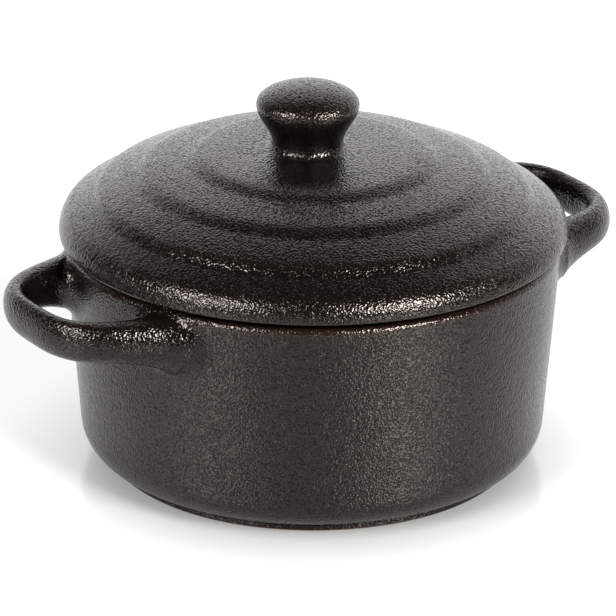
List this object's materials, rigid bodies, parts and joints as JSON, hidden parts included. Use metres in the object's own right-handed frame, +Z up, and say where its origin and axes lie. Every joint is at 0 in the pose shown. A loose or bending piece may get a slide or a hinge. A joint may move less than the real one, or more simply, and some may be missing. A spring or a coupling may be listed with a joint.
{
  "type": "lidded casserole dish",
  "caption": "Small round stoneware casserole with a tapered wall, foot ring and loop handles, and a stepped dome lid with a knob that lifts off for baking and serving one portion.",
  "frame": {"origin": "Middle of the foot ring's standing face, on the table plane and on the pot's axis", "axes": "+Z up along the pot's axis, the way the lid lifts; +X out through handle_right; +Y completes the right-handed frame"},
  "size_m": [0.1314, 0.1, 0.077],
  "materials": {
    "pot_body_glaze": "matt black glaze with a fine pebble grain",
    "handle_left_glaze": "matt black glaze with a fine pebble grain",
    "handle_right_glaze": "matt black glaze with a fine pebble grain",
    "lid_shell_glaze": "matt black glaze with a fine pebble grain",
    "lid_knob_glaze": "matt black glaze with a fine pebble grain"
  },
  "bodies": {
    "pot": {"pot_body": "pot_body_glaze", "handle_left": "handle_left_glaze", "handle_right": "handle_right_glaze"},
    "lid": {"lid_shell": "lid_shell_glaze", "lid_knob": "lid_knob_glaze"}
  },
  "joints": [
    {"name": "lid_lift", "type": "slide", "parent": "pot", "child": "lid", "axis": [0, 0, 1], "range_m": [0, 0.06]}
  ]
}
